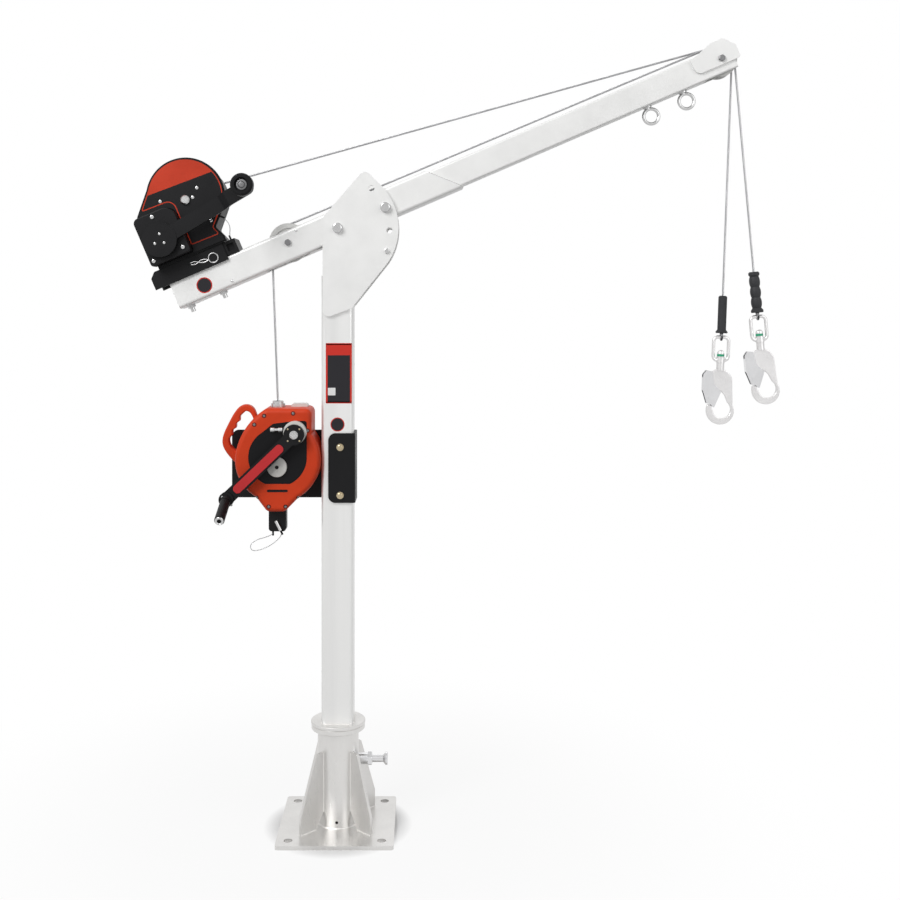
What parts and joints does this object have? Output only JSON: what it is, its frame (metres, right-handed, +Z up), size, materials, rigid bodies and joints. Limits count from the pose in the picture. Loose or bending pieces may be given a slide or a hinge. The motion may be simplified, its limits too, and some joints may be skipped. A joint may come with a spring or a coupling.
{
  "type": "confined-space rescue davit",
  "caption": "Bolt-down rescue davit: square mast slewing in a base sleeve, raised boom with rope sheaves, hand winch, self-retracting lifeline and swivel snap hooks.",
  "frame": {"origin": "centre of the base plate's underside, where it is bolted down", "axes": "+Z up the mast, +X under the raised boom, cranks face -Y"},
  "size_m": [1.6258, 0.3414, 1.9988],
  "materials": {
    "stainless": "brushed",
    "satin_tube": "satin",
    "bright_fastener": "bright",
    "yellow_zinc": "zinc passivated",
    "black_paint": "powder coat",
    "winch_face": "printed satin",
    "black_moulding": "satin",
    "red_moulding": "moulded",
    "pale_moulding": "moulded",
    "black_rubber": "matt",
    "wire_rope": "stranded",
    "bright_hook": "plated"
  },
  "bodies": {
    "base": {"base_plate": "stainless", "base_sleeve": "stainless", "sleeve_flange": "stainless", "base_gussets": "stainless", "plunger_body": "stainless"},
    "plunger": {"plunger_knob": "stainless"},
    "mast": {"mast_spigot": "stainless", "mast_collar": "stainless", "mast_tube": "satin_tube", "mast_head_plates": "satin_tube", "head_bolts": "bright_fastener", "head_washers": "bright_fastener", "boom_outer_tube": "satin_tube", "boom_inner_tube": "satin_tube", "tip_cheeks": "satin_tube", "sheave_axles": "bright_fastener", "eye_bolts": "bright_fastener", "winch_saddle": "black_paint", "winch_saddle_bolts": "bright_fastener", "winch_stop_block": "black_paint", "winch_hitch_pin": "bright_fastener", "winch_housing": "black_paint", "winch_face_plate": "winch_face", "winch_gearbox_cover": "black_paint", "winch_shaft_bolt": "bright_fastener", "lifeline_bracket": "black_paint", "bracket_bolts": "yellow_zinc", "lifeline_housing": "red_moulding", "lifeline_handle": "red_moulding", "lifeline_face": "black_moulding", "lifeline_face_fittings": "bright_fastener", "lifeline_nozzle": "bright_fastener", "lifeline_top_cover": "pale_moulding", "lifeline_gear_housing": "pale_moulding", "lifeline_lug": "black_paint", "lug_pin": "bright_fastener", "winch_rope": "wire_rope", "winch_fall": "wire_rope", "lifeline_rope": "wire_rope", "lifeline_fall": "wire_rope", "winch_line_sleeve": "black_rubber", "winch_swivel_link": "bright_hook", "lifeline_hand_grip": "black_rubber", "lifeline_swivel_link": "bright_hook", "lug_lanyard": "wire_rope", "pin_lanyard": "wire_rope"},
    "winch_crank": {"winch_crank_arm": "black_paint"},
    "winch_crank_knob": {"winch_crank_grip": "black_moulding"},
    "lifeline_crank": {"lifeline_crank_arm": "black_paint", "lifeline_crank_strip": "red_moulding"},
    "lifeline_crank_handle": {"lifeline_crank_grip": "black_moulding"},
    "winch_tip_wheel": {"winch_tip_sheave": "pale_moulding"},
    "lifeline_tip_wheel": {"lifeline_tip_sheave": "pale_moulding"},
    "lifeline_mid_wheel": {"lifeline_mid_sheave": "pale_moulding"},
    "winch_snap_hook": {"winch_hook": "bright_hook"},
    "winch_gate": {"winch_hook_gate": "bright_hook"},
    "lifeline_snap_hook": {"lifeline_hook": "bright_hook"},
    "lifeline_gate": {"lifeline_hook_gate": "bright_hook"}
  },
  "joints": [
    {"name": "mast_slew", "type": "hinge", "parent": "base", "child": "mast", "pos_m": [0, 0, 0.26], "axis": [0, 0, 1], "continuous": true},
    {"name": "plunger_pull", "type": "slide", "parent": "base", "child": "plunger", "axis": [1, 0, 0], "range_m": [0, 0.008], "stiffness_N_per_m": 1200, "springref_m": -0.004},
    {"name": "winch_crank_turn", "type": "hinge", "parent": "mast", "child": "winch_crank", "pos_m": [-0.43491, -0.091, 1.48704], "axis": [0, 1, 0], "continuous": true},
    {"name": "winch_knob_spin", "type": "hinge", "parent": "winch_crank", "child": "winch_crank_knob", "pos_m": [-0.21898, -0.117, 1.615], "axis": [0, 1, 0], "continuous": true},
    {"name": "lifeline_crank_turn", "type": "hinge", "parent": "mast", "child": "lifeline_crank", "pos_m": [-0.104, -0.085, 1.0036], "axis": [0, 1, 0], "continuous": true},
    {"name": "lifeline_handle_spin", "type": "hinge", "parent": "lifeline_crank", "child": "lifeline_crank_handle", "pos_m": [-0.2706, -0.0973, 0.844], "axis": [0, -0.9397, -0.342], "continuous": true},
    {"name": "winch_tip_spin", "type": "hinge", "parent": "mast", "child": "winch_tip_wheel", "pos_m": [0.97044, 0.013, 1.9488], "axis": [0, 1, 0], "continuous": true},
    {"name": "lifeline_tip_spin", "type": "hinge", "parent": "mast", "child": "lifeline_tip_wheel", "pos_m": [0.97044, -0.013, 1.9488], "axis": [0, 1, 0], "continuous": true},
    {"name": "lifeline_mid_spin", "type": "hinge", "parent": "mast", "child": "lifeline_mid_wheel", "pos_m": [-0.12444, -0.013, 1.48384], "axis": [0, 1, 0], "continuous": true},
    {"name": "winch_hook_swivel", "type": "hinge", "parent": "mast", "child": "winch_snap_hook", "pos_m": [0.97988, 0.013, 1.17989], "axis": [-0.0378, 0, -0.9993], "continuous": true},
    {"name": "winch_gate_open", "type": "hinge", "parent": "winch_snap_hook", "child": "winch_gate", "pos_m": [0.95423, 0.013, 1.13653], "axis": [0, -1, 0], "range_deg": [0, 18], "stiffness_Nm_per_rad": 0.1, "springref_deg": -20.05},
    {"name": "lifeline_hook_swivel", "type": "hinge", "parent": "mast", "child": "lifeline_snap_hook", "pos_m": [1.07384, -0.013, 1.23321], "axis": [0.0901, 0, -0.9959], "continuous": true},
    {"name": "lifeline_gate_open", "type": "hinge", "parent": "lifeline_snap_hook", "child": "lifeline_gate", "pos_m": [1.05393, -0.013, 1.18692], "axis": [0, -1, 0], "range_deg": [0, 18], "stiffness_Nm_per_rad": 0.1, "springref_deg": -20.05}
  ]
}
